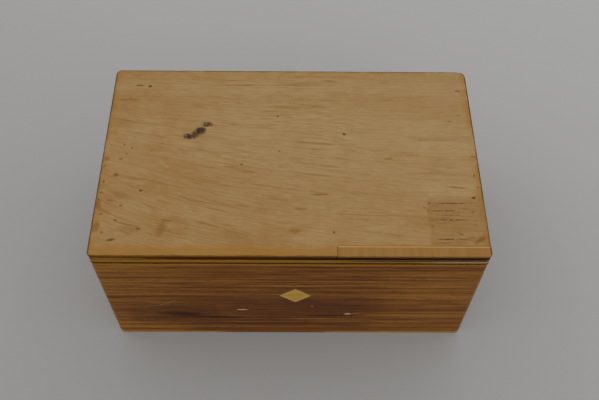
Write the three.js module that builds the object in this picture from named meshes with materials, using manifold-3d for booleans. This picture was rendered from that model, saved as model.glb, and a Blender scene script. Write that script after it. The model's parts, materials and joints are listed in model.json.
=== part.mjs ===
// Wooden puzzle box with a sliding lid, a sliding front panel and two hidden bolts.
//
// A glued inner box of thick walls stands on a thin base sheet. The front panel hides the front wall
// and slides both ways on two dovetail rails. Pushed aside, it bares one of two wooden bolts that stand
// upright in the front wall. A raised bolt stops a dovetail key under the lid; with both bolts down the
// lid slides off to the right on its keys and its back runner, until its batten meets the right wall.
//
// Millimetres, +Z up. The origin is the centre of the underside, X runs along the length and the front
// looks towards -Y. The parts are placed with the lid closed, the panel flush and both bolts down.

import * as THREE from "three";
import { mergeVertices } from "three/addons/utils/BufferGeometryUtils.js";
import Module from "manifold-3d";

// ---------- Driving dimensions ----------

// Outside
const LENGTH = 150;
const DEPTH = 91.5;
const HEIGHT = 69;
const CORNER_RADIUS = 2.5; // upright edges of the panels, the lid and the base sheet
const CORNER_STEPS = 8;

// Sheet and board thicknesses
const BASE_SHEET = 1.2;
const BOTTOM_BOARD = 4;
const SIDE_WALL = 7.6; // front and back walls, thick enough for a channel and a bolt
const END_WALL = 5.5;
const VENEER = 1.2;
const PANEL_CORE = 2.75; // board behind the front and back veneers
const LID_BOARD = 4.4;
const LID_FACE = 0.6;

// Clearances
const GLUE = 0.05; // glue line between fixed pieces
const SLIDE_GAP = 0.3; // between pieces that slide past each other
const LID_GAP = 0.5; // seam under the lid
const FIT_GAP = 0.2; // sides of a dovetail or a bolt, and the last of a travel
const PEG_GAP = 0.08; // around a peg
const FACE_RECESS = 0.15; // bolts and pegs below the wall's face

// Edge lines
const PALE_LINE = 1.4; // height of the pale line round the top of the body
const BLACK_LINE = 2.2; // height of the black line round the lid
const BLACK_LINE_DEPTH = 0.8;

// Diamond inlay in the front veneer
const DIAMOND_WIDTH = 14.2;
const DIAMOND_HEIGHT = 13;
const DIAMOND_OFFSET = 2.2; // to the right of the middle
const DIAMOND_LEVEL = 36.9; // its centre above the underside

// Cross-grain patch let into the front right edge of the lid's face
const PATCH_LENGTH = 57.3;
const PATCH_WIDTH = 4.8;

// Lid travel and what guides it
const LID_TRAVEL = 100;
const CHANNEL_DEPTH = 4;
const CHANNEL_INSET = 3.6; // channel's centre line from the wall's outer face
const KEY_NECK = 2.5; // width of a dovetail key under the lid
const KEY_FOOT = 4.1; // its width at the bottom
const LEFT_KEY_LENGTH = 6;
const RIGHT_KEY_LENGTH = 14;
const KEY_PLAY = 0.6; // between a key and a raised bolt
const RUNNER_INSET = 5; // right end of the back runner from the end of the lid
const BATTEN_WIDTH = 6;
const BATTEN_HEIGHT = 5;

// Fascia: strip under the right end of the lid that covers the open ends of the channels
const FASCIA_THICKNESS = 3;
const FASCIA_DROP = 5;

// Bolts
const BOLT_WIDTH = 8;
const BOLT_FACE_WIDTH = 6.6; // narrower at the face, so that the pocket holds the bolt in
const BOLT_THICKNESS = 3.2;
const BOLT_LENGTH = 24;
const NOTCH_WIDTH = 4.6; // fingernail notch
const NOTCH_HEIGHT = 2;
const NOTCH_DEPTH = 1.2;
const NOTCH_LEVEL = 9; // below the top of the bolt

// Front panel's slide
const PANEL_TRAVEL = 18; // each way
const RAIL_HEIGHT = 2.1; // how far a rail stands out of the wall
const RAIL_FOOT = 3.6; // its width on the wall
const RAIL_HEAD = 5.2; // its width inside the panel
const LOWER_RAIL_LEVEL = 13; // its centre above the underside
const UPPER_RAIL_LEVEL = 14; // its centre below the top of the body
const GROOVE_END = 4.5; // solid wood between a groove and the end of the panel

// Corner pegs
const PEG_DIAMETER = 3;
const PEG_LENGTH = 14;
const PEG_SIDES = 12;
const LOWER_PEG_LEVEL = 14;
const UPPER_PEG_LEVEL = 46;

// ---------- Planes worked out from them ----------

const LEFT = -LENGTH / 2;
const RIGHT = LENGTH / 2;
const FRONT = -DEPTH / 2;
const BACK = DEPTH / 2;

const LID_BOTTOM = HEIGHT - LID_FACE - LID_BOARD;
const LID_FACE_BOTTOM = HEIGHT - LID_FACE;
const BODY_TOP = LID_BOTTOM - LID_GAP;
const BLACK_LINE_BOTTOM = LID_FACE_BOTTOM - BLACK_LINE;
const PALE_LINE_BOTTOM = BODY_TOP - PALE_LINE;
const BODY_BOTTOM = BASE_SHEET + GLUE;

const CORE_DEPTH = VENEER + PANEL_CORE; // from the outer face to the back of a panel's core
const FRONT_WALL_OUT = FRONT + CORE_DEPTH + SLIDE_GAP;
const FRONT_WALL_IN = FRONT_WALL_OUT + SIDE_WALL;
const BACK_WALL_OUT = BACK - CORE_DEPTH - GLUE;
const BACK_WALL_IN = BACK_WALL_OUT - SIDE_WALL;
const LEFT_WALL_OUT = LEFT + VENEER + GLUE;
const LEFT_WALL_IN = LEFT_WALL_OUT + END_WALL;
const RIGHT_WALL_OUT = RIGHT - VENEER - GLUE;
const RIGHT_WALL_IN = RIGHT_WALL_OUT - END_WALL;

const FASCIA_BOTTOM = LID_BOTTOM - FASCIA_DROP;
const FASCIA_IN = RIGHT - FASCIA_THICKNESS;
const FASCIA_FRONT = FRONT_WALL_OUT + SLIDE_GAP;
const FASCIA_BACK = BACK_WALL_OUT - SLIDE_GAP;

const CHANNEL_FLOOR = BODY_TOP - CHANNEL_DEPTH;
const FRONT_CHANNEL_Y = FRONT_WALL_OUT + CHANNEL_INSET;
const BACK_CHANNEL_Y = BACK_WALL_OUT - CHANNEL_INSET;

const LEFT_KEY_LEFT = LEFT_WALL_OUT + FIT_GAP;
const LEFT_BOLT_X = LEFT_KEY_LEFT + LEFT_KEY_LENGTH + KEY_PLAY + BOLT_WIDTH / 2;
const RIGHT_BOLT_X = -LEFT_BOLT_X;
const BOLT_TOP = CHANNEL_FLOOR - FIT_GAP;

const GROOVE_HALF = RIGHT - GROOVE_END;
const RAIL_HALF = GROOVE_HALF - PANEL_TRAVEL - FIT_GAP;
const RAIL_LEVELS = { lower: LOWER_RAIL_LEVEL, upper: BODY_TOP - UPPER_RAIL_LEVEL };

const BATTEN_RIGHT = RIGHT_WALL_IN - LID_TRAVEL - FIT_GAP;

// ---------- Solids ----------

const wasm = await Module();
wasm.setup();

// A prism of a closed outline. The outline lies in the plane across `axis` and runs `from` to `to` on it.
// Its points are [y, z] for axis x, [z, x] for axis y and [x, y] for axis z.
function prism(axis, outline, from, to) {
  const isShape = outline instanceof THREE.Shape;
  const shape = isShape ? outline : new THREE.Shape(outline.map((point) => new THREE.Vector2(...point)));
  const settings = { depth: 1, bevelEnabled: false, curveSegments: CORNER_STEPS };
  const geometry = new THREE.ExtrudeGeometry(shape, settings);
  const position = geometry.getAttribute("position");
  const order = { x: [2, 0, 1], y: [1, 2, 0], z: [0, 1, 2] }[axis];
  for (let i = 0; i < position.count; i++) {
    const local = [position.getX(i), position.getY(i), position.getZ(i) < 0.5 ? from : to];
    position.setXYZ(i, local[order[0]], local[order[1]], local[order[2]]);
  }
  return solidOf(geometry);
}

function box([x0, x1], [y0, y1], [z0, z1]) {
  return prism("z", [[x0, y0], [x1, y0], [x1, y1], [x0, y1]], z0, z1);
}

function solidOf(geometry) {
  const bare = geometry.clone();
  bare.deleteAttribute("normal");
  bare.deleteAttribute("uv");
  const merged = mergeVertices(bare, 1e-4);
  return new wasm.Manifold(
    new wasm.Mesh({
      numProp: 3,
      vertProperties: merged.attributes.position.array,
      triVerts: new Uint32Array(merged.index.array),
    }),
  );
}

function geometryOf(solid) {
  const mesh = solid.getMesh();
  const geometry = new THREE.BufferGeometry();
  geometry.setAttribute("position", new THREE.BufferAttribute(new Float32Array(mesh.vertProperties), 3));
  geometry.setIndex(new THREE.BufferAttribute(new Uint32Array(mesh.triVerts), 1));
  geometry.computeVertexNormals();
  return geometry;
}

// The box's outline seen from above, with rounded corners, as a prism from one level to another.
function footprint(from, to) {
  const shape = new THREE.Shape();
  const r = CORNER_RADIUS;
  shape.absarc(RIGHT - r, BACK - r, r, 0, Math.PI / 2, false);
  shape.absarc(LEFT + r, BACK - r, r, Math.PI / 2, Math.PI, false);
  shape.absarc(LEFT + r, FRONT + r, r, Math.PI, 1.5 * Math.PI, false);
  shape.absarc(RIGHT - r, FRONT + r, r, 1.5 * Math.PI, 2 * Math.PI, false);
  return prism("z", shape, from, to);
}

// A block that keeps to the rounded outline.
function outerBlock(xs, ys, zs) {
  return footprint(zs[0], zs[1]).intersect(box(xs, ys, zs));
}

// ---------- Dovetails ----------

// Cross-section [y, z] of a key under the lid, or with a gap the channel that it runs in.
function keyOutline(centre, top, gap) {
  const foot = CHANNEL_FLOOR + FIT_GAP;
  const flare = (KEY_FOOT - KEY_NECK) / 2 / (LID_BOTTOM - GLUE - foot);
  const bottom = gap ? CHANNEL_FLOOR : foot;
  const half = (z) => KEY_NECK / 2 + flare * (LID_BOTTOM - GLUE - z) + gap;
  return [
    [centre - half(bottom), bottom],
    [centre + half(bottom), bottom],
    [centre + half(top), top],
    [centre - half(top), top],
  ];
}

function lidKey(centre, from, to) {
  return prism("x", keyOutline(centre, LID_BOTTOM - GLUE, 0), from, to);
}

// Open at both ends: the left one is closed by the end veneer, the right one by the fascia.
function lidChannel(centre) {
  return prism("x", keyOutline(centre, BODY_TOP + LID_GAP, FIT_GAP), LEFT, RIGHT);
}

// Cross-section [y, z] of a rail on the front wall, or with a gap the groove in the panel.
function railOutline(level, gap) {
  const foot = FRONT_WALL_OUT - GLUE + (gap ? SLIDE_GAP : 0);
  const head = FRONT_WALL_OUT - GLUE - RAIL_HEIGHT - gap;
  const flare = (RAIL_HEAD - RAIL_FOOT) / 2 / RAIL_HEIGHT;
  const half = (y) => RAIL_FOOT / 2 + flare * (FRONT_WALL_OUT - GLUE - y) + gap;
  return [
    [foot, level - half(foot)],
    [foot, level + half(foot)],
    [head, level + half(head)],
    [head, level - half(head)],
  ];
}

// A bolt's cross-section [x, y], narrower at its face, or with a gap that of its pocket.
function boltOutline(centre, gap) {
  const face = gap ? FRONT_WALL_OUT : FRONT_WALL_OUT + FACE_RECESS;
  const rear = FRONT_WALL_OUT + FACE_RECESS + BOLT_THICKNESS + gap;
  const flare = (BOLT_WIDTH - BOLT_FACE_WIDTH) / 2 / BOLT_THICKNESS;
  const half = (y) => BOLT_FACE_WIDTH / 2 + flare * (y - FRONT_WALL_OUT - FACE_RECESS) + gap;
  return [
    [centre - half(face), face],
    [centre + half(face), face],
    [centre + half(rear), rear],
    [centre - half(rear), rear],
  ];
}

// ---------- Body ----------

function bottomBoard() {
  return box(
    [LEFT_WALL_IN + GLUE, RIGHT_WALL_IN - GLUE],
    [FRONT_WALL_IN + GLUE, BACK_WALL_IN - GLUE],
    [BODY_BOTTOM, BODY_BOTTOM + BOTTOM_BOARD],
  );
}

// The room that the lid's fascia needs in the top right end of the body.
function fasciaRebate() {
  return box(
    [FASCIA_IN - SLIDE_GAP, RIGHT + SLIDE_GAP],
    [FRONT_WALL_OUT - SLIDE_GAP, BACK_WALL_OUT + GLUE / 2],
    [FASCIA_BOTTOM - SLIDE_GAP, LID_BOTTOM],
  );
}

const PEG_ENDS = { left: (LEFT_WALL_OUT + LEFT_WALL_IN) / 2, right: (RIGHT_WALL_OUT + RIGHT_WALL_IN) / 2 };
const PEG_LEVELS = { lower: LOWER_PEG_LEVEL, upper: UPPER_PEG_LEVEL };

const pegSites = ["front", "back"].flatMap((side) =>
  Object.entries(PEG_ENDS).flatMap(([end, x]) =>
    Object.entries(PEG_LEVELS).map(([level, z]) => ({ name: `${side}_${end}_${level}_peg`, side, x, z })),
  ),
);

// A round peg driven in from a side wall's outer face, or with a gap the hole for it.
function peg({ side, x, z }, gap) {
  const radius = PEG_DIAMETER / 2 + gap;
  const outline = Array.from({ length: PEG_SIDES }, (_, i) => {
    const turn = (2 * Math.PI * i) / PEG_SIDES;
    return [z + radius * Math.cos(turn), x + radius * Math.sin(turn)];
  });
  const proud = gap ? SLIDE_GAP : -FACE_RECESS;
  return side === "front"
    ? prism("y", outline, FRONT_WALL_OUT - proud, FRONT_WALL_OUT + PEG_LENGTH + gap)
    : prism("y", outline, BACK_WALL_OUT - PEG_LENGTH - gap, BACK_WALL_OUT + proud);
}

function drilled(wall) {
  return pegSites.reduce((left, site) => left.subtract(peg(site, PEG_GAP)), wall);
}

function frontWall() {
  const wall = box([LEFT_WALL_OUT, RIGHT_WALL_OUT], [FRONT_WALL_OUT, FRONT_WALL_IN], [BODY_BOTTOM, BODY_TOP]);
  const pocket = (x) => prism("z", boltOutline(x, FIT_GAP), BOLT_TOP - BOLT_LENGTH, BODY_TOP + LID_GAP);
  return drilled(
    wall
      .subtract(fasciaRebate())
      .subtract(lidChannel(FRONT_CHANNEL_Y))
      .subtract(pocket(LEFT_BOLT_X))
      .subtract(pocket(RIGHT_BOLT_X)),
  );
}

function backWall() {
  const wall = box([LEFT_WALL_OUT, RIGHT_WALL_OUT], [BACK_WALL_IN, BACK_WALL_OUT], [BODY_BOTTOM, BODY_TOP]);
  return drilled(wall.subtract(fasciaRebate()).subtract(lidChannel(BACK_CHANNEL_Y)));
}

function endWall(xs) {
  const wall = box(xs, [FRONT_WALL_IN + GLUE, BACK_WALL_IN - GLUE], [BODY_BOTTOM, BODY_TOP]);
  return drilled(wall.subtract(fasciaRebate()));
}

// A strip of the left or right end's skin, between two levels.
function endSkin(xs, zs) {
  return box(xs, [FRONT_WALL_OUT, BACK_WALL_OUT - GLUE], zs);
}

function rail(level) {
  return prism("x", railOutline(level, 0), -RAIL_HALF, RAIL_HALF);
}

function bolt(centre) {
  const bar = prism("z", boltOutline(centre, 0), BOLT_TOP - BOLT_LENGTH + FIT_GAP, BOLT_TOP);
  const notch = box(
    [centre - NOTCH_WIDTH / 2, centre + NOTCH_WIDTH / 2],
    [FRONT_WALL_OUT - SLIDE_GAP, FRONT_WALL_OUT + FACE_RECESS + NOTCH_DEPTH],
    [BOLT_TOP - NOTCH_LEVEL - NOTCH_HEIGHT, BOLT_TOP - NOTCH_LEVEL],
  );
  return bar.subtract(notch);
}

// ---------- Front and back panels ----------

const PANEL_BOTTOM = BASE_SHEET + SLIDE_GAP;

function frontPanelCore() {
  const ys = [FRONT + VENEER + GLUE, FRONT + CORE_DEPTH];
  const core = outerBlock([LEFT, RIGHT], ys, [PANEL_BOTTOM, BODY_TOP]);
  return Object.values(RAIL_LEVELS).reduce(
    (left, level) => left.subtract(prism("x", railOutline(level, FIT_GAP), -GROOVE_HALF, GROOVE_HALF)),
    core,
  );
}

// The diamond's outline [z, x], grown by a gap for the hole that it sits in.
function diamond(gap, from, to) {
  const x = DIAMOND_OFFSET;
  const z = DIAMOND_LEVEL;
  const dx = DIAMOND_WIDTH / 2 + gap;
  const dz = DIAMOND_HEIGHT / 2 + gap;
  return prism("y", [[z, x - dx], [z - dz, x], [z, x + dx], [z + dz, x]], from, to);
}

function frontVeneer() {
  const sheet = outerBlock([LEFT, RIGHT], [FRONT, FRONT + VENEER], [PANEL_BOTTOM, PALE_LINE_BOTTOM - GLUE]);
  return sheet.subtract(diamond(GLUE, FRONT - SLIDE_GAP, FRONT + VENEER + SLIDE_GAP));
}

function backPanelCore() {
  return outerBlock([LEFT, RIGHT], [BACK - CORE_DEPTH, BACK - VENEER - GLUE], [BODY_BOTTOM, BODY_TOP]);
}

// ---------- Lid ----------

function lidBoard() {
  const rim = footprint(BLACK_LINE_BOTTOM - GLUE, LID_FACE_BOTTOM).subtract(
    box(
      [LEFT + BLACK_LINE_DEPTH + GLUE, RIGHT - BLACK_LINE_DEPTH - GLUE],
      [FRONT + BLACK_LINE_DEPTH + GLUE, BACK - BLACK_LINE_DEPTH - GLUE],
      [BODY_TOP, HEIGHT],
    ),
  );
  return footprint(LID_BOTTOM, LID_FACE_BOTTOM - GLUE).subtract(rim);
}

function longBlackLine(ys) {
  return outerBlock([LEFT, RIGHT], ys, [BLACK_LINE_BOTTOM, LID_FACE_BOTTOM - GLUE]);
}

function shortBlackLine(xs) {
  const inset = BLACK_LINE_DEPTH + GLUE;
  return outerBlock(xs, [FRONT + inset, BACK - inset], [BLACK_LINE_BOTTOM, LID_FACE_BOTTOM - GLUE]);
}

function patchRoom(gap) {
  return box(
    [RIGHT - PATCH_LENGTH - gap, RIGHT + SLIDE_GAP],
    [FRONT - SLIDE_GAP, FRONT + PATCH_WIDTH + gap],
    [LID_FACE_BOTTOM - gap, HEIGHT + gap],
  );
}

function lidBatten() {
  return box(
    [BATTEN_RIGHT - BATTEN_WIDTH, BATTEN_RIGHT],
    [FRONT_WALL_IN + SLIDE_GAP, BACK_WALL_IN - SLIDE_GAP],
    [LID_BOTTOM - BATTEN_HEIGHT, LID_BOTTOM - GLUE],
  );
}

function fasciaLineRoom(gap) {
  return box(
    [RIGHT - VENEER - gap, RIGHT + gap],
    [FASCIA_FRONT - gap, FASCIA_BACK + gap],
    [PALE_LINE_BOTTOM - gap, BODY_TOP + gap],
  );
}

function fascia() {
  const strip = box([FASCIA_IN, RIGHT], [FASCIA_FRONT, FASCIA_BACK], [FASCIA_BOTTOM, LID_BOTTOM - GLUE]);
  return strip.subtract(fasciaLineRoom(GLUE));
}

function fasciaPaleLine() {
  return box([RIGHT - VENEER, RIGHT], [FASCIA_FRONT, FASCIA_BACK], [PALE_LINE_BOTTOM, BODY_TOP]);
}

// ---------- Finishes ----------

const wood = (color, roughness) => new THREE.MeshStandardMaterial({ color, roughness, metalness: 0 });

const finishes = {
  bareMaple: wood(0xc9a36e, 0.72),
  crossMaple: wood(0xc49356, 0.66),
  innerPine: wood(0xc8a06c, 0.75),
  brownVeneer: wood(0x7a4a22, 0.42),
  paleLine: wood(0xa97a3e, 0.45),
  blackLine: wood(0x1e120c, 0.5),
  diamondWood: wood(0xd2aa5c, 0.4),
  beech: wood(0xa97447, 0.6),
};

// ---------- Assembly ----------

const puzzleBox = new THREE.Group();

function group(name) {
  const made = new THREE.Group();
  made.name = name;
  puzzleBox.add(made);
  return made;
}

function add(parent, name, solid, finish) {
  const mesh = new THREE.Mesh(geometryOf(solid), finish);
  mesh.name = name;
  parent.add(mesh);
}

const body = group("body");
add(body, "base_sheet", footprint(0, BASE_SHEET), finishes.bareMaple);
add(body, "bottom_board", bottomBoard(), finishes.innerPine);
add(body, "front_wall", frontWall(), finishes.innerPine);
add(body, "back_wall", backWall(), finishes.innerPine);
add(body, "left_end_wall", endWall([LEFT_WALL_OUT, LEFT_WALL_IN]), finishes.innerPine);
add(body, "right_end_wall", endWall([RIGHT_WALL_IN, RIGHT_WALL_OUT]), finishes.innerPine);
add(
  body,
  "left_end_veneer",
  endSkin([LEFT, LEFT + VENEER], [BODY_BOTTOM, PALE_LINE_BOTTOM - GLUE]),
  finishes.brownVeneer,
);
add(
  body,
  "right_end_veneer",
  endSkin([RIGHT - VENEER, RIGHT], [BODY_BOTTOM, FASCIA_BOTTOM - SLIDE_GAP]),
  finishes.brownVeneer,
);
add(body, "left_pale_line", endSkin([LEFT, LEFT + VENEER], [PALE_LINE_BOTTOM, BODY_TOP]), finishes.paleLine);
add(body, "back_panel_core", backPanelCore(), finishes.innerPine);
add(
  body,
  "back_veneer",
  outerBlock([LEFT, RIGHT], [BACK - VENEER, BACK], [BODY_BOTTOM, PALE_LINE_BOTTOM - GLUE]),
  finishes.brownVeneer,
);
add(
  body,
  "back_pale_line",
  outerBlock([LEFT, RIGHT], [BACK - VENEER, BACK], [PALE_LINE_BOTTOM, BODY_TOP]),
  finishes.paleLine,
);
for (const [name, level] of Object.entries(RAIL_LEVELS)) {
  add(body, `${name}_panel_rail`, rail(level), finishes.beech);
}
for (const site of pegSites) {
  add(body, site.name, peg(site, 0), finishes.beech);
}

const frontPanel = group("front_panel");
add(frontPanel, "front_panel_core", frontPanelCore(), finishes.innerPine);
add(frontPanel, "front_veneer", frontVeneer(), finishes.brownVeneer);
add(
  frontPanel,
  "front_pale_line",
  outerBlock([LEFT, RIGHT], [FRONT, FRONT + VENEER], [PALE_LINE_BOTTOM, BODY_TOP]),
  finishes.paleLine,
);
add(frontPanel, "diamond_inlay", diamond(0, FRONT, FRONT + VENEER), finishes.diamondWood);

const bolts = group("bolts");
add(bolts, "left_bolt", bolt(LEFT_BOLT_X), finishes.beech);
add(bolts, "right_bolt", bolt(RIGHT_BOLT_X), finishes.beech);

const lid = group("lid");
add(lid, "lid_board", lidBoard(), finishes.bareMaple);
add(lid, "lid_face", footprint(LID_FACE_BOTTOM, HEIGHT).subtract(patchRoom(GLUE)), finishes.bareMaple);
add(lid, "lid_edge_patch", footprint(LID_FACE_BOTTOM, HEIGHT).intersect(patchRoom(0)), finishes.crossMaple);
add(lid, "lid_front_line", longBlackLine([FRONT, FRONT + BLACK_LINE_DEPTH]), finishes.blackLine);
add(lid, "lid_back_line", longBlackLine([BACK - BLACK_LINE_DEPTH, BACK]), finishes.blackLine);
add(lid, "lid_left_line", shortBlackLine([LEFT, LEFT + BLACK_LINE_DEPTH]), finishes.blackLine);
add(lid, "lid_right_line", shortBlackLine([RIGHT - BLACK_LINE_DEPTH, RIGHT]), finishes.blackLine);
add(
  lid,
  "front_left_key",
  lidKey(FRONT_CHANNEL_Y, LEFT_KEY_LEFT, LEFT_KEY_LEFT + LEFT_KEY_LENGTH),
  finishes.beech,
);
add(
  lid,
  "front_right_key",
  lidKey(
    FRONT_CHANNEL_Y,
    RIGHT_BOLT_X - BOLT_WIDTH / 2 - KEY_PLAY - RIGHT_KEY_LENGTH,
    RIGHT_BOLT_X - BOLT_WIDTH / 2 - KEY_PLAY,
  ),
  finishes.beech,
);
add(lid, "back_runner", lidKey(BACK_CHANNEL_Y, LEFT_KEY_LEFT, RIGHT - RUNNER_INSET), finishes.beech);
add(lid, "lid_batten", lidBatten(), finishes.beech);
add(lid, "lid_fascia", fascia(), finishes.brownVeneer);
add(lid, "fascia_pale_line", fasciaPaleLine(), finishes.paleLine);

export default puzzleBox;
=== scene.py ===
"""Wooden puzzle box: a sliding lid, a sliding front panel and two hidden bolts, all finished in wood."""

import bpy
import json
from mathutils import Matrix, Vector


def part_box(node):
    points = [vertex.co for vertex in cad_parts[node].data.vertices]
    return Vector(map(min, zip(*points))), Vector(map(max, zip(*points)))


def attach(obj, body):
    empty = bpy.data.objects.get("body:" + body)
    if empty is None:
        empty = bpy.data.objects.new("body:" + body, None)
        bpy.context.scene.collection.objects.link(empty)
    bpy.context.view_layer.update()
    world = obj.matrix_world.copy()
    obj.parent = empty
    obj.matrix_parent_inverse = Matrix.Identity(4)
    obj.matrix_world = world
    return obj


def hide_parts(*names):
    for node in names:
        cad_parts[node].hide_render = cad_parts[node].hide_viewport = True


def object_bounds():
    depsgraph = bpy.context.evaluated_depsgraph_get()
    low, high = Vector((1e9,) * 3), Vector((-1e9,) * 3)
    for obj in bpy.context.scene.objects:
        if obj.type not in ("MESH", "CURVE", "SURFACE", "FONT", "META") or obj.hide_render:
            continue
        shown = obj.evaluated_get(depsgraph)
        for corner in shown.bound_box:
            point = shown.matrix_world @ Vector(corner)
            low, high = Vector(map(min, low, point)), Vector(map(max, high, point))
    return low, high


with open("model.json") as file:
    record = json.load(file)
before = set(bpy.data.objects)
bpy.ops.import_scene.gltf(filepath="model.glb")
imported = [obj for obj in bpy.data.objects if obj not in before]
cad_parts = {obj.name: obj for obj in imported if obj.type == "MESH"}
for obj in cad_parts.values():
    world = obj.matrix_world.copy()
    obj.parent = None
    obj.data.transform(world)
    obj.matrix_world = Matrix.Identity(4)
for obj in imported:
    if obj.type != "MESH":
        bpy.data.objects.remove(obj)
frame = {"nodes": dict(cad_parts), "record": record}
cad_box = [list(corner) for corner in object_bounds()]

import json
import math

import bmesh
import bpy
from mathutils import Matrix, Vector, noise

bl_info = {
    "name": "Wooden puzzle box",
    "version": (1, 0, 0),
    "blender": (4, 5, 0),
    "location": "View3D > Sidebar > Puzzle box",
    "description": "Models a wooden puzzle box with a sliding lid, a sliding panel and hidden bolts",
    "category": "Object",
}

MM = 0.001
AXES = {"x": Vector((1, 0, 0)), "y": Vector((0, 1, 0)), "z": Vector((0, 0, 1))}
LOW, HIGH = (Vector(corner) for corner in cad_box)
TO_FRONT = Matrix.Rotation(math.radians(90), 3, "X")

CLOSE = 0.001 * MM  # Points nearer than this are in one place.
SHARP = math.radians(40)  # Edges that turn more than this are rounded.
FLAT = math.radians(1)  # Edges that turn less than this are dissolved.

# In millimetres, for the finishes.
HALF_LENGTH, HALF_DEPTH, TOP = (part / MM for part in HIGH)
LID_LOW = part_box("lid_board")[0].z / MM
DYE_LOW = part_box("lid_front_line")[0].z / MM
SIDE_RIM = 41.4

BODY_OF = {
    node: body for body, nodes in frame["record"]["behaviour"]["bodies"].items() for node in nodes
}


# ---------- What a user may change ----------


def colour_property(name, description, default):
    return bpy.props.FloatVectorProperty(
        name=name, description=description, default=default, subtype="COLOR", size=3, min=0, max=1
    )


def length_property(name, description, default):
    return bpy.props.FloatProperty(
        name=name, description=description, default=default, unit="LENGTH", min=0, precision=5
    )


class PuzzleBoxSizes(bpy.types.PropertyGroup):
    arris: length_property("Arris", "Rounding of the edges that hands touch", 0.4 * MM)
    fine_arris: length_property("Fine arris", "Rounding of veneer and inner edges", 0.15 * MM)
    inlay_arris: length_property("Inlay arris", "Rounding of the diamond, strip and dyed lines", 0.08 * MM)
    glue: length_property("Glue", "Gap beside the strip let into the lid", 0.05 * MM)
    wear: length_property("Wear", "Depth of the wear along the edges", 0.14 * MM)
    wear_spacing: length_property("Wear spacing", "How far apart the worn places are", 3.1 * MM)
    slice: length_property("Slice", "Spacing of the mesh along an edge that wears", 1.5 * MM)
    corner: length_property("Corner", "Radius of most upright corners", 2.5 * MM)
    crisp_corner: length_property("Crisp corner", "Radius of the lid's other corners", 2 * MM)
    worn_corner: length_property("Worn corner", "Radius of the lid's corner at the back right", 4 * MM)


class PuzzleBoxColours(bpy.types.PropertyGroup):
    bare: colour_property("Bare wood", "Top of the lid", (0.316, 0.204, 0.081))
    bare_line: colour_property("Bare wood line", "Growth lines of the bare wood", (0.200, 0.105, 0.030))
    bleed: colour_property("Varnish bleed", "Old varnish over the lid's edges", (0.245, 0.118, 0.024))
    patch: colour_property("Patch", "Cross-grain strip in the lid", (0.215, 0.110, 0.029))
    stain: colour_property("Stain", "Brown of the sides", (0.142, 0.047, 0.015))
    stain_gold: colour_property("Golden stain", "Where the stain is thin", (0.285, 0.132, 0.028))
    stain_dark: colour_property("Dark stain", "Where the stain is deep", (0.046, 0.015, 0.007))
    pale_line: colour_property("Pale line", "Worn edge lines", (0.240, 0.125, 0.025))
    black_line: colour_property("Black line", "Dyed line round the lid", (0.022, 0.008, 0.006))
    diamond: colour_property("Diamond", "Inlay in the front", (0.465, 0.300, 0.060))
    nick: colour_property("Nick", "Fresh wood in a nick", (0.700, 0.500, 0.280))
    pine: colour_property("Pine", "Inside of the box", (0.470, 0.300, 0.135))
    beech: colour_property("Beech", "Bolts, keys, rails and pegs", (0.370, 0.190, 0.090))
    ink: colour_property("Ink", "Smudge and flecks on the lid", (0.022, 0.014, 0.011))


class PuzzleBoxStage(bpy.types.PropertyGroup):
    # The floor goes from this colour in front to the far floor colour at the back and right: a painted
    # light falloff.
    floor: colour_property("Floor", "Colour of the floor in front", (0.290, 0.283, 0.274))
    far_floor_painted_light: colour_property("Far floor", "Colour of the floor at the back", (0.385, 0.385, 0.380))
    floor_reach: length_property("Floor reach", "How far the floor goes from the middle", 3)
    floor_gap: length_property("Floor gap", "How far the floor lies under the box", 0.02 * MM)
    air: bpy.props.FloatProperty(name="Air", description="Light from all round", default=1.08, min=0)
    left_light: bpy.props.FloatProperty(
        name="Left light", description="Power of the light over the left", default=0.9, min=0, unit="POWER"
    )
    back_light: bpy.props.FloatProperty(
        name="Back light", description="Power of the light at the back", default=0.9, min=0, unit="POWER"
    )
    light_size: length_property("Light size", "Width of the round lights", 0.8)
    camera_place: bpy.props.FloatVectorProperty(
        name="Camera place", description="Where the camera stands", subtype="TRANSLATION", unit="LENGTH",
        size=3, default=(0.96 * MM, -184.04 * MM, 321.14 * MM),
    )
    camera_turn: bpy.props.FloatProperty(
        name="Camera turn", description="How far it looks to the right", subtype="ANGLE",
        default=math.radians(0.914),
    )
    camera_dip: bpy.props.FloatProperty(
        name="Camera dip", description="How far it looks down", subtype="ANGLE",
        default=math.radians(57.057),
    )
    camera_roll: bpy.props.FloatProperty(
        name="Camera roll", description="How far it leans", subtype="ANGLE", default=math.radians(1.028)
    )
    lens: bpy.props.FloatProperty(
        name="Lens", description="Focal length on a 36 mm sensor", subtype="DISTANCE_CAMERA", default=46.853
    )


def sizes():
    """The sizes that the user may change."""
    return bpy.context.scene.puzzle_box_sizes


def colour(name):
    """One of the user's colours with full opacity, as a shader socket takes it."""
    return (*getattr(bpy.context.scene.puzzle_box_colours, name), 1)


# ---------- Shaders ----------

WARM_GLOSS = (1, 0.85, 0.65, 1)
AMBER_GLOSS = (1, 0.72, 0.45, 1)


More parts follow.
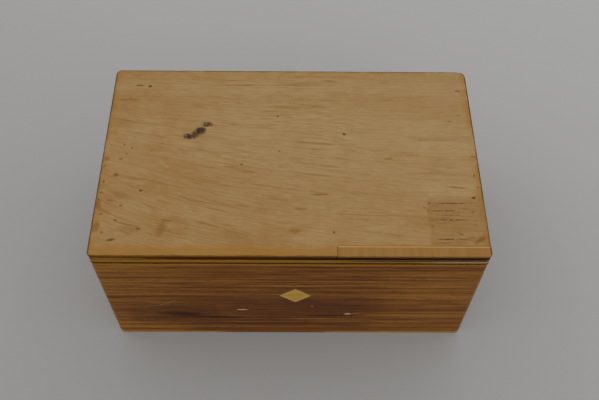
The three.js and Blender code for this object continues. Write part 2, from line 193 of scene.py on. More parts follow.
class Value:
    """A socket of a finish. Arithmetic on it adds Math nodes."""

    def __init__(self, finish, socket):
        self.finish, self.socket = finish, socket

    def _math(self, operation, first, second=None):
        return self.finish.node("Math", {"operation": operation}, {0: first, 1: second})

    def __add__(self, other):
        return self._math("ADD", self, other)

    __radd__ = __add__

    def __sub__(self, other):
        return self._math("SUBTRACT", self, other)

    def __rsub__(self, other):
        return self._math("SUBTRACT", other, self)

    def __mul__(self, other):
        return self._math("MULTIPLY", self, other)

    __rmul__ = __mul__

    def __truediv__(self, other):
        return self._math("DIVIDE", self, other)

    def __pow__(self, other):
        return self._math("POWER", self, other)

    def __abs__(self):
        return self._math("ABSOLUTE", self)

    def most(self, other):
        return self._math("MAXIMUM", self, other)

    def least(self, other):
        return self._math("MINIMUM", self, other)

    def exponent(self):
        return self._math("EXPONENT", self)

    def between(self, start, end, low=0, high=1):
        """Goes smoothly from low to high as the value goes from start to end. Either may be the larger."""
        settings = {"interpolation_type": "SMOOTHSTEP", "clamp": True}
        sockets = {"Value": self, "From Min": start, "From Max": end, "To Min": low, "To Max": high}
        return self.finish.node("MapRange", settings, sockets)


class Finish:
    """A material, and the one way that nodes are added to it."""

    def __init__(self, name):
        self.material = bpy.data.materials.new(name)
        self.material.use_nodes = True
        self.tree = self.material.node_tree
        self.tree.nodes.clear()
        place = self.node("TexCoord", {}, {}, "Object")
        self.point = self.node("VectorMath", {"operation": "SCALE"}, {0: place, "Scale": 1 / MM})
        self.x, self.y, self.z = self.split(self.point)

    def node(self, kind, settings, sockets, out=0):
        """Adds a node. A socket takes a constant, or a Value that it is linked to."""
        made = self.tree.nodes.new("ShaderNode" + kind)
        for key, value in settings.items():
            setattr(made, key, value)
        for key, value in sockets.items():
            if isinstance(value, Value):
                self.tree.links.new(value.socket, made.inputs[key])
            elif value is not None:
                made.inputs[key].default_value = value
        return Value(self, made.outputs[out]) if made.outputs else None

    def split(self, vector):
        first = self.node("SeparateXYZ", {}, {0: vector})
        return [Value(self, output) for output in first.socket.node.outputs]

    def join(self, x, y, z=0.0):
        return self.node("CombineXYZ", {}, {0: x, 1: y, 2: z})

    def cloud(self, x, y, z=0.0, detail=2.0, rough=0.5):
        """Soft noise from 0 to 1, with spots about one unit across."""
        sockets = {"Vector": self.join(x, y, z), "Scale": 1.0, "Detail": detail, "Roughness": rough}
        return self.node("TexNoise", {}, sockets)

    def mix(self, factor, first, second):
        """A colour between two colours."""
        return self.node("Mix", {"data_type": "RGBA"}, {0: factor, 6: first, 7: second}, 2)

    def warp(self, u, v, reach, size, seed):
        """A flat point whose coordinates wander by about reach. The third is 1, for the dot products."""
        return self.join(
            u + (self.cloud(u * (1 / size), v * (1 / size), seed) - 0.5) * (2 * reach),
            v + (self.cloud(u * (1 / size), v * (1 / size), seed + 9) - 0.5) * (2 * reach),
            1.0,
        )

    def dot(self, point, direction, start, size):
        """How far a point lies along a direction, from a start and in steps of a size."""
        across, up = direction
        row = (across / size, up / size, -start / size)
        return self.node("VectorMath", {"operation": "DOT_PRODUCT"}, {0: point, 1: row}, "Value")

    def marks(self, point, rows):
        """A mask of oval marks. A row is (u, v, half length, half width, turn in degrees, strength).

        Each mark is measured with dot products. Mapping nodes would fill up the shader's memory."""
        mask = None
        for u, v, length, width, turn, strength in rows:
            across, up = math.cos(math.radians(turn)), math.sin(math.radians(turn))
            along = self.dot(point, (across, up), u * across + v * up, length)
            aside = self.dot(point, (-up, across), v * across - u * up, width)
            distance = (along * along + aside * aside) ** 0.5
            spot = distance.between(1, 0.35, 0, strength)
            mask = spot if mask is None else mask.most(spot)
        return mask

    def surface(self, base, rough, height=None, relief=0.05 * MM, gloss=0.15, gloss_tint=WARM_GLOSS):
        """Joins the material up. A height of 1 stands out by relief."""
        normal = None
        if height is not None:
            normal = self.node("Bump", {}, {"Height": height, "Distance": relief, "Strength": 1.0})
        sockets = {
            "Base Color": base, "Roughness": rough, "Normal": normal,
            "Specular IOR Level": gloss, "Specular Tint": gloss_tint,
        }
        shader = self.node("BsdfPrincipled", {}, sockets)
        self.node("OutputMaterial", {}, {"Surface": shader})
        return self.material


def grain(finish, along, across, depth, seed):
    """Common parts of a plain board's grain: wide bands, thin lines and fibres, each from 0 to 1."""
    bend = finish.cloud(along * 0.02, across * 0.06, seed) * 3
    bands = finish.cloud(along * 0.010, (across + bend) * 0.22, depth * 0.1 + seed, 3)
    lines = finish.cloud(along * 0.016, (across + bend) * 0.95, depth * 0.3 + seed + 3, 2)
    fibres = finish.cloud(along * 0.18, across * 5, depth * 2 + seed + 5, 2)
    return bands, lines.between(0.52, 0.72), fibres


# ---------- Finishes ----------

# Colours inside a finish, beside those that a user may change.
SHADES = {
    "varnish_haze": (0.205, 0.095, 0.026),
    "pale_mottle": (0.390, 0.260, 0.110),
    "grain_line": (0.140, 0.066, 0.020),
    "handled_rim": (0.050, 0.026, 0.006),
    "lid_skirt": (0.040, 0.014, 0.003),
    "rubbed_corner": (0.190, 0.100, 0.033),
    "old_spot": (0.125, 0.058, 0.017),
    "varnish_blot": (0.150, 0.052, 0.008),
    "streak": (0.105, 0.040, 0.011),
    "fleck": (0.045, 0.016, 0.005),
    "score": (0.062, 0.026, 0.009),
    "strip_band": (0.300, 0.170, 0.052),
    # Partly pale raw wood, partly painted highlight.
    "strip_joint": (0.46, 0.265, 0.085),
    "strip_lip": (0.060, 0.026, 0.006),
    "strip_end": (0.150, 0.070, 0.018),
    "strip_skirt": (0.030, 0.012, 0.006),
    "reddish_stain": (0.085, 0.024, 0.010),
    "gold_line": (0.300, 0.148, 0.036),
    "dull_stain": (0.064, 0.019, 0.011),
    "dark_streak": (0.022, 0.006, 0.003),
    "gold_streak": (0.290, 0.140, 0.034),
    "pore": (0.022, 0.007, 0.003),
    "veneer_rim": (0.300, 0.185, 0.060),
    "worn_line": (0.34, 0.22, 0.085),
    "cream_scuff": (0.42, 0.31, 0.17),
    # Painted shade and dirt in the gap under the lid.
    "seam": (0.045, 0.016, 0.003),
    "brown_dye": (0.062, 0.016, 0.0006),
    "dye_streak": (0.085, 0.026, 0.003),
    "dye_edge": (0.118, 0.036, 0.002),
    "rubbed_dye": (0.190, 0.088, 0.020),
    "dye_scratch": (0.34, 0.27, 0.20),
    "dye_fibre": (0.100, 0.040, 0.008),
    "diamond_ring": (0.310, 0.180, 0.024),
    "diamond_border": (0.49, 0.34, 0.10),
    "diamond_fibre": (0.27, 0.15, 0.03),
    "base_sheet": (0.36, 0.21, 0.075),
}


def shade(name):
    return (*SHADES[name], 1)


# Marks on the lid, in millimetres from its middle: (x, y, half length, half width, turn, strength).
LID_FLECKS = [
    (-64.1, 37, 2.3, 0.56, 0, 0.83), (-59.7, 36.6, 0.92, 0.94, 50, 1), (-66.9, 5.5, 0.63, 0.62, 30, 0.77),
    (-63.7, 4.1, 0.63, 0.62, 0, 0.66), (-67.5, -1.6, 1.26, 0.62, 10, 0.5),
    (-68.5, -9.2, 1.03, 0.62, 0, 0.55), (-58, -16.7, 0.86, 0.75, 0, 1), (-19.4, -4, 1.03, 0.62, -15, 0.72),
    (-4.5, 2.7, 0.57, 0.75, 40, 0.55), (-5.5, 20.5, 0.92, 0.62, -45, 0.77),
    (-66.8, -38.7, 2.3, 0.75, 12, 0.83), (-66.2, -30.1, 1.03, 0.62, 0, 0.77),
    (-64.9, -23.5, 1.03, 0.62, 0, 0.61), (-69.3, -21.2, 1.84, 0.5, 0, 0.55),
    (-57.1, -33.8, 1.49, 0.62, -12, 0.66), (16.5, -35.1, 0.69, 0.69, 0, 0.77),
    (21.8, 11.4, 1.09, 0.75, -20, 0.94), (70.9, -19.3, 1.26, 0.69, 0, 0.99),
    (70.7, 34.7, 1.84, 0.62, -8, 0.66), (-67.3, 30.4, 1.03, 0.44, 20, 0.44),
    (-65.6, 1, 0.69, 0.62, 0, 0.44), (-52, 6.4, 0.92, 0.38, 0, 0.39), (69.8, 21.4, 1.38, 0.5, 5, 0.39),
    (65.7, 18.4, 1.61, 0.5, 0, 0.44), (-73.6, -5.2, 0.7, 0.6, 0, 0.6), (-72.9, -12.4, 0.8, 0.6, 20, 0.7),
    (-73.2, -17.6, 0.7, 0.7, 0, 0.6), (-72, -27.4, 0.9, 0.6, 0, 0.7), (-70.6, -35.6, 1, 0.6, -20, 0.6),
    (72.6, -8.8, 0.8, 0.6, 0, 0.5), (73.2, -14.6, 0.7, 0.6, 0, 0.5),
]
LID_STREAKS = [
    (-22.3, 37.5, 12.1, 0.47, 0.6, 0.61), (16.1, 40, 3.96, 0.68, -3, 0.55),
    (39.7, 39.2, 4.4, 0.47, 2, 0.44), (11.7, -18.1, 4.62, 0.54, 0.5, 0.77),
    (4.2, -24.7, 3.52, 0.47, -4, 0.55), (39.1, -0.9, 2.42, 0.61, 0, 0.61),
    (65.2, -14.6, 5.06, 0.68, -4, 0.66), (-31.7, -31.7, 8.8, 0.47, -16.5, 0.66),
    (-27.2, -25.4, 8.25, 0.41, -15.5, 0.5), (-46.9, -30.2, 3.52, 0.74, -10, 0.55),
    (-61.4, -31.9, 6.6, 0.47, -14, 0.61), (-43.6, -35.7, 7.7, 0.41, -17, 0.39),
    (29.7, -27.4, 17.6, 0.41, -2.5, 0.39), (9, 3.8, 9.9, 0.41, -5, 0.39),
    (59.3, 8.6, 15.4, 0.41, -0.5, 0.39), (33.7, 13.9, 13.2, 0.41, 0, 0.28),
    (57.4, 25.8, 14.3, 0.34, -1, 0.28), (-13.8, -13.4, 13.2, 0.41, -9, 0.33),
]
LID_SCORES = [
    (63.3, -21.9, 10.71, 0.41, 0.5, 0.95), (59.3, -25.3, 8.19, 0.47, 0.5, 0.79),
    (60.5, -27.4, 6.72, 0.38, 0.5, 0.58), (61.3, -29.4, 11.34, 0.41, 0.5, 0.89),
    (60.8, -37.9, 9.24, 0.43, 0.5, 0.89), (60.8, -39.4, 8.82, 0.38, 0.5, 0.63),
    (64.5, -35.7, 1.99, 0.47, -32, 0.89), (52, -24.3, 1.78, 0.43, -42, 0.79),
    (70, -25.8, 1.58, 0.47, 12, 0.73), (70.6, -29.5, 1.05, 0.61, 0, 0.73),
    (53.6, -21.9, 0.73, 0.68, 0, 0.84), (70.2, -31.7, 1.05, 0.47, 0, 0.53),
    (65.7, -33.2, 4.73, 0.34, 1, 0.37), (53.8, -32.5, 0.63, 0.68, 0, 0.53),
    (57.9, -30.8, 5.25, 0.34, 0.5, 0.47), (56.5, -23.2, 3.2, 0.34, 0.5, 0.45),
    (62.5, -26.2, 5.5, 0.3, 0.5, 0.4), (59, -28.5, 4, 0.34, 0.5, 0.45), (66.5, -24.2, 3.2, 0.34, 0.5, 0.5),
    (61.5, -34.4, 8.5, 0.28, 0.5, 0.3), (60.5, -36.3, 7, 0.28, 0.5, 0.3), (68.2, -37.2, 2, 0.4, 0, 0.5),
]
LID_SMUDGE = [
    (-41.6, 9.9, 2.9, 2.1, -20, 0.95), (-39.1, 10.4, 2.6, 2.3, 25, 0.85), (-36.9, 12.7, 3.3, 2.9, 35, 1),
    (-38.5, 11.6, 2.9, 1.9, 55, 0.9), (-34.5, 16.2, 2.7, 1.7, 10, 0.9), (-32.9, 15.9, 1.5, 1.3, 0, 0.7),
]
LID_BLOTS = [
    (71.2, -38.2, 3.6, 1.4, 33, 0.75), (1.4, -34.8, 3.4, 1.6, 5, 0.50), (73.1, 0.3, 1.8, 0.8, 0, 0.7),
]
LID_STAINS = [
    (-73.6, -22.6, 1.5, 4, 6, 0.7), (-73.2, -33.2, 2, 3.2, -10, 0.65), (-73.1, -1.4, 2.2, 1.6, 0, 0.65),
    (-68.5, -9.4, 1.7, 1.3, 0, 0.75), (-48.5, -33.9, 4.8, 2.2, 80, 0.55), (-64.6, -19.4, 6, 1.8, -17, 0.42),
    (-61, -34.5, 6, 2.6, -14, 0.4), (-42, -30, 7, 2.2, -17, 0.3), (-20, -36, 9, 2.6, -9, 0.25),
]

# Marks on the front, in millimetres from the middle of its lower edge: (x, z, ...) as above.
FRONT_NICKS = [
    (-19.8, 23.6, 3.1, 0.5, 0, 0.8), (24.2, 19.6, 1.9, 0.75, 4, 0.85), (27.4, 20.1, 3, 0.39, 3, 0.25),
    (9.1, 27.2, 0.41, 0.8, 0, 0.3), (-50.4, 29.6, 7.29, 0.39, 33, 0.14),
]
FRONT_DULL = [(-50, 20, 36, 16, -5, 0.55), (2, 25, 46, 18, 0, 0.50)]
FRONT_GOLD = [
    (3.8, 45.6, 40.8, 0.85, 0.4, 0.63), (51.3, 44.8, 24, 0.77, 0.4, 0.69),
    (8.7, 14.7, 16.8, 0.77, 0.4, 0.86), (-51.3, 49.1, 24, 0.68, 0, 0.46),
    (-39.5, 55.4, 19.2, 0.68, 0, 0.46), (51.2, 12.4, 24, 0.77, 0, 0.69),
    (47.2, 17.9, 20.4, 0.85, 0.4, 0.63), (39.3, 8.9, 28.8, 0.68, 0, 0.57),
    (61.1, 27.3, 10.8, 1.19, 0, 0.57),
]
FRONT_DARK = [
    (15.6, 18, 15.4, 0.98, 1.2, 0.94), (-45.4, 19.1, 13.2, 3.3, -6, 0.83),
    (-29.7, 16.2, 15.4, 1.5, -2, 0.66), (-10, 13.3, 28.6, 1.2, 0, 0.55), (-51.3, 25.1, 12.1, 1.05, 0, 0.39),
    (-57.2, 52.6, 14.3, 0.75, 0, 0.44), (-0.2, 9.6, 60.5, 1.2, 0, 0.5), (-11.9, 61.6, 37.4, 0.9, 0, 0.39),
]


def bare_wood(name):
    """The top of the lid: bare, sweeping grain with old varnish along the edges, flecks and scores."""
    f = Finish(name)
    sweep = 60
    reach = sweep - sweep * ((f.x + HALF_LENGTH) * (-1 / sweep)).exponent()
    slope = f.y.between(36, -40, 0.08, 0.50)
    wander = f.cloud(f.x * 0.02, f.y * 0.06, 2.0) * 4
    across = f.y + reach * slope + wander
    bands = f.cloud(f.x * 0.007, across * 0.16, 1.3, 3)
    ridge = abs(f.cloud(f.x * 0.013, across * 0.42, 7.7, 1) - 0.5)
    fine_ridge = abs(f.cloud(f.x * 0.030, across * 0.95, 3.1, 1) - 0.5)
    where = f.cloud(f.x * 0.035, across * 0.16, 9.4, 2)
    lines = ridge.between(0.030, 0.0) * where.between(0.44, 0.60)
    fine_lines = fine_ridge.between(0.055, 0.0) * where.between(0.60, 0.42, 0.20, 1)
    drift = f.cloud(f.x * 0.016, across * 0.62, 4.1, 3, 0.6)
    fibres = f.cloud(f.x * 0.15, across * 1.6, f.z + 5, 3, 0.7)
    mottle = f.cloud(f.x * 0.30, across * 0.80, 3.3, 2)
    warm = f.cloud(f.x * 0.035, f.y * 0.05, 6.0, 4, 0.6)

    base = f.mix((1 - bands).between(0.40, 0.64, 0, 0.22), colour("bare"), colour("bare_line"))
    base = f.mix(drift.between(0.50, 0.72, 0, 0.20), base, colour("bare_line"))
    # Darker and warmer towards the left and the front of the top.
    left = f.x.between(-15, -72, 0.30, 1).most(f.y.between(-12, -44, 0.30, 0.9))
    base = f.mix(warm.between(0.38, 0.70, 0.14, 0.66) * left, base, shade("varnish_haze"))
    base = f.mix(mottle.between(0.50, 0.72, 0, 0.20), base, shade("pale_mottle"))
    calm = f.x.between(-10, 60, 1, 0.6)
    base = f.mix(fibres.between(0.45, 0.66, 0, 0.42) * calm, base, colour("bare_line"))
    base = f.mix((lines * 0.50 + fine_lines * 0.32) * calm, base, shade("grain_line"))

    edges = f.cloud(f.x * 0.14, f.y * 0.14, 8.0, 4, 0.6)
    ragged = f.cloud(f.x * 0.07, 0.0, 2.2, 4, 0.65)
    front = (f.y + HALF_DEPTH + (ragged - 0.5) * 7).between(6.2, 3.0)
    sides = (HALF_LENGTH - abs(f.x) + (edges - 0.5) * 14).between(3.6, 0.2, 0, 0.9)
    back = (HALF_DEPTH - f.y + (edges - 0.5) * 5).between(2.0, 0.2, 0, 0.75)
    bleed = front.most(sides).most(back)
    base = f.mix(bleed * (0.62 + fibres * 0.30), base, colour("bleed"))
    rim = (HALF_LENGTH - abs(f.x)).least(HALF_DEPTH - abs(f.y))
    base = f.mix((rim + (edges - 0.5) * 0.9).between(0.95, 0.30, 0, 0.80), base, shade("handled_rim"))
    skirt = (f.z + (edges - 0.5) * 0.3).between(TOP - 0.20, TOP - 0.34)
    base = f.mix(skirt * 0.92, base, shade("lid_skirt"))

    near = f.warp(f.x, f.y, 0.28, 1.4, 3.0)
    loose = f.warp(f.x, f.y, 0.80, 1.6, 5.0)
    patchy = f.cloud(f.x * 1.0, f.y * 1.2, 4.0, 2)
    streaks = f.marks(near, LID_STREAKS)
    flecks = f.marks(near, LID_FLECKS)
    scores = f.marks(near, LID_SCORES) * patchy.between(0.36, 0.52)
    smudge = f.marks(loose, LID_SMUDGE) * patchy.between(0.28, 0.44)
    blots = f.marks(loose, LID_BLOTS)
    stains = f.marks(loose, LID_STAINS)
    corner = (f.x + (edges - 0.5) * 2).between(51.9, 53.1) * (f.y + (edges - 0.5) * 6).between(-18, -22)
    drawn = f.cloud(f.x * 0.10, f.y * 1.5, 2.5, 2).between(0.50, 0.64)
    base = f.mix(corner * (0.38 + drawn * 0.25), base, shade("rubbed_corner"))
    base = f.mix(stains * 0.72, base, shade("old_spot"))
    base = f.mix(blots * 0.85, base, shade("varnish_blot"))
    base = f.mix(streaks * 0.80, base, shade("streak"))
    base = f.mix(flecks * 0.90, base, shade("fleck"))
    base = f.mix(scores * 0.88, base, shade("score"))
    base = f.mix(smudge * 0.96, base, colour("ink"))

    rough = 0.62 - bleed * 0.18 + fibres * 0.1
    return f.surface(base, rough, fibres * 0.5, 0.06 * MM)


def patch_wood(name):
    """The strip let into the lid: short cross grain, more varnish, and a pale line along its back edge that
    is partly pale raw wood and partly painted highlight.
    """
    f = Finish(name)
    bands = f.cloud(f.x * 0.55, f.y * 0.05, 3.0, 3)
    lines = f.cloud(f.x * 1.9, f.y * 0.12, 5.0, 2).between(0.45, 0.72)
    fibres = f.cloud(f.x * 5, f.y * 0.3, f.z + 2, 2)
    base = f.mix(bands.between(0.35, 0.65, 0, 0.30), colour("patch"), shade("strip_band"))
    base = f.mix(lines * 0.40, base, colour("bleed"))
    base = f.mix(fibres.between(0.4, 0.8, 0, 0.2), base, colour("bare_line"))
    low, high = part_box("lid_edge_patch")
    # Pale line along the back edge of the strip: partly raw wood at the edge of the face, partly a painted
    # highlight on that edge.
    edge_and_highlight = (f.y - high.y / MM).between(-0.75, -0.2)
    base = f.mix(edge_and_highlight * 0.75, base, shade("strip_joint"))
    lip = (f.y + HALF_DEPTH + f.cloud(f.x * 0.3, 0.0, 1.0) * 0.5).between(1.1, 0.4, 0, 0.7)
    end = (HALF_LENGTH - f.x).between(1.0, 0.3, 0, 0.75)
    base = f.mix(lip.most(end), base, shade("strip_lip"))
    base = f.mix((f.x - low.x / MM).between(0.9, 0.2, 0, 0.35), base, shade("strip_end"))
    skirt = f.z.between(TOP - 0.20, TOP - 0.34)
    base = f.mix(skirt * 0.9, base, shade("strip_skirt"))
    return f.surface(base, 0.5 + fibres * 0.12, fibres * 0.4 - lines * 0.3)


def stained(name, along, across, depth, front=False):
    """Brown stain under thin varnish, with straight fine grain."""
    f = Finish(name)
    a, c, d = (getattr(f, axis) for axis in (along, across, depth))
    level = c + f.cloud(a * 0.012, c * 0.05, 3.0) * 2.2
    bands = f.cloud(a * 0.006, level * 0.11, 2.0, 2)
    stripes = f.cloud(a * 0.007, level * 0.45, 6.0, 3, 0.7)
    pins = abs(f.cloud(a * 0.006, level * 0.70, 1.0, 1) - 0.5)
    dark_pins = abs(f.cloud(a * 0.008, level * 0.85, 12.0, 1) - 0.5)
    ticks = f.cloud(a * 0.055, level * 1.15, 4.0, 2)
    pores = f.cloud(a * 0.30, c * 3.4, d + 4, 2).between(0.55, 0.72)
    fibres = f.cloud(a * 0.10, c * 4.0, d + 8, 2)
    blotch = f.cloud(a * 0.022, c * 0.05, 5.0, 3)

    ends = abs(a + 6).between(26, 72) if front else blotch.between(0.4, 0.7)
    gold = stripes.between(0.42, 0.64) * 0.42 + ends * 0.36 + c.between(40, 56) * 0.12
    gold = gold * bands.between(0.32, 0.60, 0.45, 1)
    if front:
        gold = gold + a.between(-30, -60, 0, 0.20)
    base = f.mix(gold, colour("stain"), colour("stain_gold"))
    base = f.mix((1 - stripes).between(0.46, 0.64, 0, 0.38), base, colour("stain_dark"))
    base = f.mix(blotch.between(0.50, 0.76, 0, 0.40), base, shade("reddish_stain"))
    base = f.mix(dark_pins.between(0.065, 0.0, 0, 0.60), base, colour("stain_dark"))
    base = f.mix(pins.between(0.060, 0.0) * (0.45 + ends * 0.40), base, shade("gold_line"))
    base = f.mix(ticks.between(0.54, 0.66, 0, 0.26), base, colour("stain_gold"))
    base = f.mix((1 - ticks).between(0.54, 0.66, 0, 0.34), base, colour("stain_dark"))
    if front:
        low = f.marks(f.warp(a, c, 4, 12, 2.0), FRONT_DULL)
        base = f.mix(low, base, shade("dull_stain"))
        point = f.warp(a, c, 0.18, 2.2, 6.0)
        base = f.mix(f.marks(point, FRONT_DARK) * 0.85, base, shade("dark_streak"))
        base = f.mix(f.marks(point, FRONT_GOLD) * 0.85, base, shade("gold_streak"))
    base = f.mix(pores * 0.50, base, shade("pore"))
    base = f.mix(fibres.between(0.5, 0.85, 0, 0.20), base, colour("stain_gold"))
    if front:
        nicks = f.marks(f.warp(a, c, 0.15, 0.9, 1.0), FRONT_NICKS)
        base = f.mix(nicks, base, colour("nick"))
    rim = (HALF_LENGTH if along == "x" else SIDE_RIM) - abs(a) + (ticks - 0.5) * 1.2
    base = f.mix(rim.between(1.4, 0.5, 0, 0.55 if front else 0.3), base, shade("veneer_rim"))
    height = fibres * 0.25 + stripes * 0.4 - pores * 0.5
    rough = 0.44 + fibres * 0.12 + pores * 0.1
    return f.surface(base, rough, height, 0.045 * MM, gloss=0.18, gloss_tint=AMBER_GLOSS)


def pale_edge(name, along):
    """Worn edge line where the pale wood shows through the varnish, darkened beside the gap under the lid
    by painted shade and dirt.
    """
    f = Finish(name)
    a = getattr(f, along)
    streak = f.cloud(a * 0.05, f.z * 1.6, 4.0, 3)
    fibres = f.cloud(a * 0.3, f.z * 6, 2.0, 2)
    worn = f.cloud(a * 0.35, f.z * 0.8, 7.0, 3)
    right = a.between(0, 74)
    base = f.mix(streak.between(0.35, 0.65, 0, 0.6), colour("pale_line"), colour("stain_gold"))
    above = f.z.between(LID_LOW - 0.4, LID_LOW)
    base = f.mix(right * above * worn.between(0.4, 0.6) * 0.45, base, shade("worn_line"))
    base = f.mix(a.between(44, 62) * above * worn.between(0.36, 0.5, 0.3, 0.9), base, shade("cream_scuff"))
    height = f.z - DYE_LOW + (worn - 0.5) * 0.5
    dyed_edge = height.between(-0.85, -0.45) * a.between(8, 40)
    base = f.mix(worn.between(0.62, 0.75, 0, 0.5), base, colour("stain"))
    base = f.mix(fibres.between(0.45, 0.8, 0, 0.25), base, colour("stain_dark"))
    base = f.mix(dyed_edge * 0.9, base, colour("black_line"))
    # Painted shade in the gap between the lid and the body, with some dirt: a dark band along the lid's
    # lower edge.
    seam = abs(f.z - (LID_LOW + 0.12) + (worn - 0.5) * 0.25).between(0.82, 0.50)
    base = f.mix(seam * 0.85, base, shade("seam"))
    return f.surface(base, 0.5 + fibres * 0.1, fibres * 0.4 + worn * 0.3, gloss=0.1)


def dyed(name, along):
    """The dyed line: black to the right, browner to the left, rubbed and scratched."""
    f = Finish(name)
    a = getattr(f, along)
    streak = f.cloud(a * 0.06, f.z * 1.2, 3.0, 3)
    fibres = f.cloud(a * 0.5, f.z * 5, 6.0, 2)
    rubbed = f.cloud(a * 0.22, f.z * 0.5, 9.0, 3)
    scratched = f.cloud(a * 1.5, f.z * 0.8 + a * 0.5, 2.0, 3)
    base = f.mix(a.between(30, -20), colour("black_line"), shade("brown_dye"))
    base = f.mix(streak.between(0.5, 0.75, 0, 0.5), base, shade("dye_streak"))
    height = f.z - DYE_LOW
    centre = abs(height - 1.1 + (rubbed - 0.5) * 0.5)
    base = f.mix(centre.between(0.85, 1.2, 0, 0.6), base, shade("dye_edge"))
    left = a.between(-36, -70)
    base = f.mix(left * rubbed.between(0.30, 0.55), base, shade("rubbed_dye"))
    right = a.between(36, 54, 0.25, 1) * a.between(74.5, 72) * a.between(30, 36)
    low_half = height.between(0.8, 0.3)
    base = f.mix(right * scratched.between(0.50, 0.62) * low_half, base, shade("dye_scratch"))
    base = f.mix(fibres.between(0.55, 0.8, 0, 0.3), base, shade("dye_fibre"))
    below = (height + (rubbed - 0.5) * 0.3).between(0.65, 0.40)
    base = f.mix(below, base, colour("pale_line"))
    bumps = fibres * 0.4 - scratched.between(0.55, 0.66) * 0.5
    return f.surface(base, 0.42 + rubbed * 0.2, bumps, gloss=0.06)


def diamond_wood(name):
    """Pale golden wood with curved rings and a lighter rim."""
    f = Finish(name)
    low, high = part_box("diamond_inlay")
    middle, half = (low + high) / (2 * MM), (high - low) / (2 * MM)
    from_edge = abs((f.x - middle.x) / half.x) + abs((f.z - middle.z) / half.z)
    ring = ((f.x - middle.x - 3) ** 2 * 0.35 + (f.z - middle.z + 14) ** 2) ** 0.5
    rings = f.cloud(ring * 1.3, 0.0, 2.0, 2)
    fibres = f.cloud(ring * 5, f.x * 0.3, 4.0, 2)
    base = f.mix(rings.between(0.38, 0.62, 0, 0.75), colour("diamond"), shade("diamond_ring"))
    base = f.mix(from_edge.between(0.55, 0.78, 0, 0.6), base, shade("diamond_border"))
    base = f.mix(fibres.between(0.4, 0.7, 0, 0.30), base, shade("diamond_fibre"))
    base = f.mix(from_edge.between(0.85, 0.92, 0, 0.85), base, colour("stain"))
    return f.surface(base, 0.42 + fibres * 0.1, rings * 0.4 + fibres * 0.3, 0.03 * MM)


def plain_board(name, tone, along, across, depth, seed, rays=False):
    """Unfinished wood of the inside. rays adds the short brown flecks of beech."""
    f = Finish(name)
    a, c, d = (getattr(f, axis) for axis in (along, across, depth))
    bands, lines, fibres = grain(f, a, c, d, seed)
    red, green, blue, _ = colour(tone)
    dark = (red * 0.66, green * 0.56, blue * 0.46, 1)
    base = f.mix(bands.between(0.4, 0.65, 0, 0.45), colour(tone), dark)
    base = f.mix(lines * 0.5, base, dark)
    base = f.mix(fibres.between(0.4, 0.8, 0, 0.2), base, dark)
    height = fibres * 0.4 + lines * 0.4
    if rays:
        flecks = f.cloud(a * 0.55, c * 3.2, d * 3.2 + seed, 1).between(0.62, 0.72)
        base = f.mix(flecks * 0.5, base, (red * 0.42, green * 0.30, blue * 0.22, 1))
        height = height - flecks * 0.5
    dust = f.cloud(f.x * 0.05, f.y * 0.05, f.z * 0.05 + seed, 3)
    base = f.mix(dust.between(0.5, 0.8, 0, 0.3), base, (red * 0.7, green * 0.66, blue * 0.6, 1))
    outside = (abs(f.x) + (fibres - 0.5) * 0.6).between(HALF_LENGTH - 0.8, HALF_LENGTH - 0.2, 0, 0.85)
    base = f.mix(outside, base, colour("stain"))
    return f.surface(base, 0.66 + fibres * 0.12, height)


def base_edge(name):
    """The base sheet: pale wood, stained brown along the middle of the front edge."""
    f = Finish(name)
    bands, lines, fibres = grain(f, f.x, f.y + f.z * 0.5, f.z, 5)
    spread = f.x + (f.cloud(f.x * 0.2, f.z * 0.6, 3.0, 3) - 0.5) * 14
    brown = spread.between(-34, -24) * spread.between(22, 12)
    base = f.mix(bands.between(0.4, 0.65, 0, 0.5), shade("base_sheet"), colour("pale_line"))
    base = f.mix(lines * 0.5, base, colour("stain_gold"))
    base = f.mix(brown * 0.85, base, colour("stain"))
    base = f.mix(fibres.between(0.4, 0.8, 0, 0.25), base, colour("stain"))
    return f.surface(base, 0.55 + fibres * 0.1, fibres * 0.4)


# ---------- Shapes ----------


def everything(bm):
    """All that a cut may meet."""
    return bm.verts[:] + bm.edges[:] + bm.faces[:]


def block(low, high):
    """A box between two corners."""
    bm = bmesh.new()
    bmesh.ops.create_cube(bm, size=1)
    bmesh.ops.scale(bm, vec=high - low, verts=bm.verts)
    bmesh.ops.translate(bm, vec=(low + high) / 2, verts=bm.verts)
    return bm


def prism(low, high, sides):
    """A straight piece with this many sides, that points to the front and fills a box."""
    bm = bmesh.new()
    bmesh.ops.create_cone(bm, cap_ends=True, segments=sides, radius1=0.5, radius2=0.5, depth=1)
    bmesh.ops.rotate(bm, verts=bm.verts, matrix=TO_FRONT)
    bmesh.ops.scale(bm, verts=bm.verts, vec=high - low)
    bmesh.ops.translate(bm, verts=bm.verts, vec=(low + high) / 2)
    bmesh.ops.recalc_face_normals(bm, faces=bm.faces)
    return bm


def bevel(bm, edges, width, segments):
    """Rounds the given edges."""
    bmesh.ops.bevel(
        bm, geom=edges, offset=width, offset_type="OFFSET", segments=segments, profile=0.5,
        affect="EDGES", material=-1, clamp_overlap=True,
    )


def slab(low_z, high_z, radii=None):
    """A sheet with the outline of the whole box and round upright corners.

    radii gives a corner's radius by its side, such as "back_right"."""
    bm = block(Vector((LOW.x, LOW.y, low_z)), Vector((HIGH.x, HIGH.y, high_z)))
    for depth, y in (("front", LOW.y), ("back", HIGH.y)):
        for side, x in (("left", LOW.x), ("right", HIGH.x)):
            radius = (radii or {}).get(f"{depth}_{side}", sizes().corner)
            corner = [
                e for e in bm.edges
                if all(abs(v.co.x - x) < CLOSE and abs(v.co.y - y) < CLOSE for v in e.verts)
            ]
            bevel(bm, corner, radius, 8)
    return bm


def cut_away(bm, axis, position, side):
    """Cuts off what lies beyond a plane across an axis, on its + or - side, and closes the cut."""
    made = bmesh.ops.bisect_plane(
        bm, geom=everything(bm), plane_co=AXES[axis] * position, plane_no=AXES[axis] * side,
        clear_outer=True,
    )
    edges = [g for g in made["geom_cut"] if isinstance(g, bmesh.types.BMEdge)]
    bmesh.ops.edgeloop_fill(bm, edges=edges)


